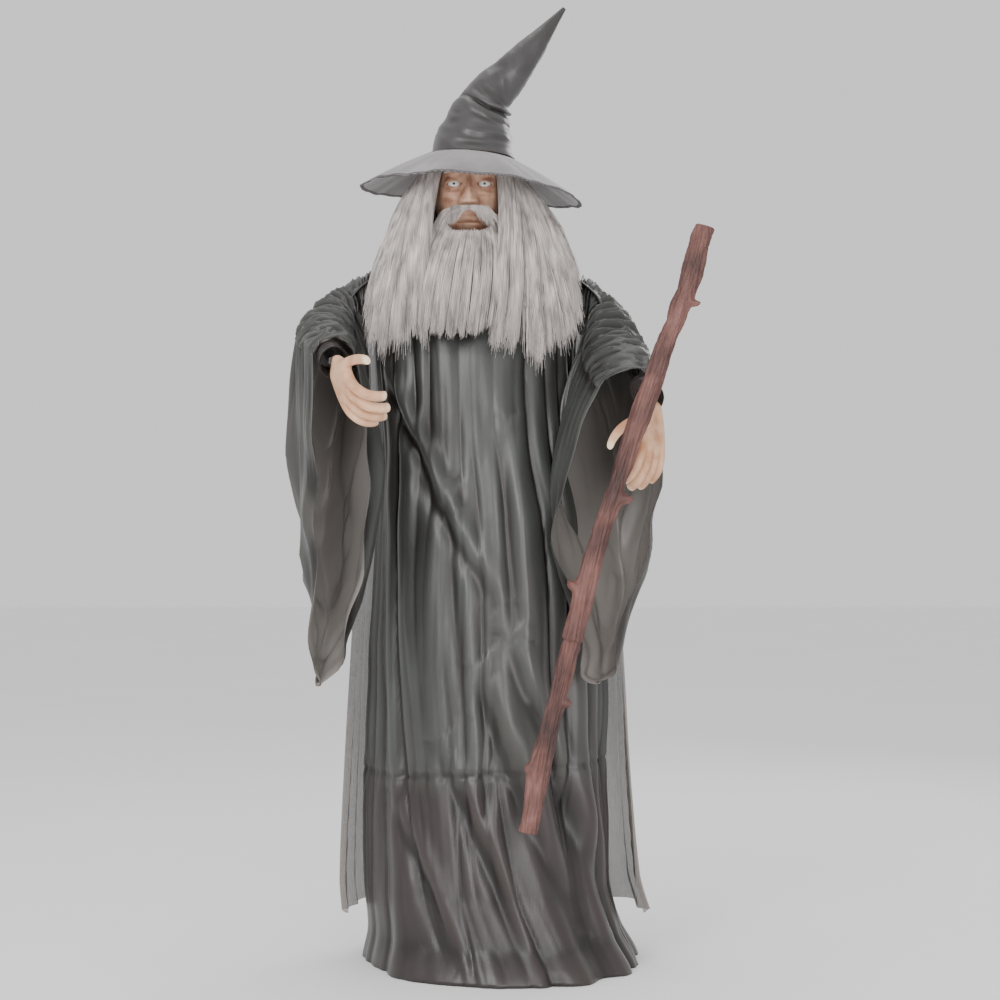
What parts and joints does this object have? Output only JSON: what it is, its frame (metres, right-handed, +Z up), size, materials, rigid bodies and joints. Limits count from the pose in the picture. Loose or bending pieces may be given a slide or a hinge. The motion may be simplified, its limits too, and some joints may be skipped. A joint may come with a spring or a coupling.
{
  "type": "animated wizard figure",
  "caption": "Life-size robed wizard prop with turning head, moving jaw, posable arms, pointed hat, long beard and a gnarled staff, on a steel stand.",
  "frame": {"origin": "middle of the base plate's flat underside, on the floor", "axes": "+Z up, the figure faces -Y, +X towards its left hand, which holds the staff"},
  "size_m": [0.7783, 0.6029, 1.8299],
  "materials": {
    "robe_satin": "grey polyester satin with soft folds",
    "brim_felt": "light grey stiffened cloth, raw stitched edge",
    "synthetic_hair": "straight light grey synthetic fibre",
    "vinyl_skin": "matte painted vinyl",
    "vinyl_hand": "matte flesh vinyl",
    "foam_bark": "reddish brown moulded bark",
    "plated_steel": "zinc plated",
    "black_plastic": "moulded black",
    "eye_lens": "white diffuser over a light",
    "sensor_lens": "dark red lens",
    "circuit_board": "green laminate",
    "battery_wrap": "plain printed wrap",
    "red_switch": "moulded red",
    "grey_button": "moulded grey"
  },
  "bodies": {
    "stand": {"base_plate": "plated_steel", "base_socket": "black_plastic", "battery_1": "battery_wrap", "battery_2": "battery_wrap", "battery_3": "battery_wrap", "control_board": "circuit_board", "control_case": "black_plastic", "gown": "robe_satin", "hood": "robe_satin", "left_shoulder_bolt": "plated_steel", "lower_pole": "plated_steel", "middle_pole": "plated_steel", "neck_bearing": "black_plastic", "neck_motor": "black_plastic", "neck_plate": "plated_steel", "right_shoulder_bolt": "plated_steel", "sensor_lens": "sensor_lens", "shoulder_bar": "plated_steel", "snap_button_lower": "plated_steel", "snap_button_upper": "plated_steel", "speaker": "black_plastic", "speaker_grille": "black_plastic", "tee_coupler": "black_plastic", "torso_back": "black_plastic", "torso_front": "black_plastic", "upper_pole": "plated_steel"},
    "neck_pinion": {"neck_pinion": "plated_steel"},
    "head": {"neck_shaft": "plated_steel", "neck_gear": "black_plastic", "head_frame": "black_plastic", "skull_back": "black_plastic", "face_mask": "vinyl_skin", "right_eye": "eye_lens", "left_eye": "eye_lens", "jaw_motor": "black_plastic", "wig": "synthetic_hair", "moustache": "synthetic_hair", "hat_crown": "robe_satin", "hat_brim": "brim_felt"},
    "jaw": {"jaw_lever": "plated_steel", "chin_shell": "vinyl_skin", "beard": "synthetic_hair"},
    "jaw_pinion": {"jaw_pinion": "black_plastic"},
    "right_arm": {"right_shoulder_knuckle": "black_plastic", "right_arm_tube": "plated_steel", "right_sleeve": "robe_satin"},
    "right_hand": {"right_hand": "vinyl_hand"},
    "left_arm": {"left_shoulder_knuckle": "black_plastic", "left_arm_tube": "plated_steel", "left_sleeve": "robe_satin", "left_hand": "vinyl_hand", "staff_upper": "foam_bark", "staff_lower": "foam_bark"},
    "battery_door": {"battery_door": "black_plastic"},
    "power_switch": {"power_switch": "red_switch"},
    "try_me_button": {"try_me_button": "grey_button"}
  },
  "joints": [
    {"name": "head_turn", "type": "hinge", "parent": "stand", "child": "head", "pos_m": [-0.01, 0, 1.3225], "axis": [0, 0, 1], "range_deg": [-30, 30], "deforming": ["wig"]},
    {"name": "neck_pinion_spin", "type": "hinge", "parent": "stand", "child": "neck_pinion", "pos_m": [-0.01, 0.0362, 1.3225], "axis": [0, 0, 1], "range_deg": [-62, 62]},
    {"name": "jaw_open", "type": "hinge", "parent": "head", "child": "jaw", "pos_m": [-0.01, 0.012, 1.432], "axis": [1, 0, 0], "range_deg": [0, 12], "deforming": ["beard"]},
    {"name": "jaw_pinion_spin", "type": "hinge", "parent": "head", "child": "jaw_pinion", "pos_m": [0.02, 0.012, 1.4697], "axis": [1, 0, 0], "range_deg": [-49, 1]},
    {"name": "right_shoulder", "type": "hinge", "parent": "stand", "child": "right_arm", "pos_m": [-0.178, 0.01, 1.285], "axis": [-1, 0, 0], "range_deg": [0, 30], "deforming": ["right_sleeve"]},
    {"name": "right_wrist_turn", "type": "hinge", "parent": "right_arm", "child": "right_hand", "pos_m": [-0.254, -0.262, 1.132], "axis": [0.2227, -0.9213, -0.3189], "range_deg": [-40, 40]},
    {"name": "left_shoulder", "type": "hinge", "parent": "stand", "child": "left_arm", "pos_m": [0.178, 0.01, 1.285], "axis": [-1, 0, 0], "range_deg": [0, 20], "deforming": ["left_sleeve"]},
    {"name": "battery_door_hinge", "type": "hinge", "parent": "stand", "child": "battery_door", "pos_m": [0, 0.0693, 0.7845], "axis": [-1, 0, 0], "range_deg": [0, 95]},
    {"name": "power_switch_slide", "type": "slide", "parent": "stand", "child": "power_switch", "axis": [0, 0, 1], "range_m": [0, 0.006]},
    {"name": "try_me_press", "type": "slide", "parent": "stand", "child": "try_me_button", "axis": [-1, 0, 0], "range_m": [0, 0.0025], "stiffness_N_per_m": 300, "springref_m": -0.001}
  ],
  "couplings": [
    {"joint": "neck_pinion_spin", "follows": "head_turn", "ratio": -2},
    {"joint": "jaw_pinion_spin", "follows": "jaw_open", "ratio": -4}
  ]
}
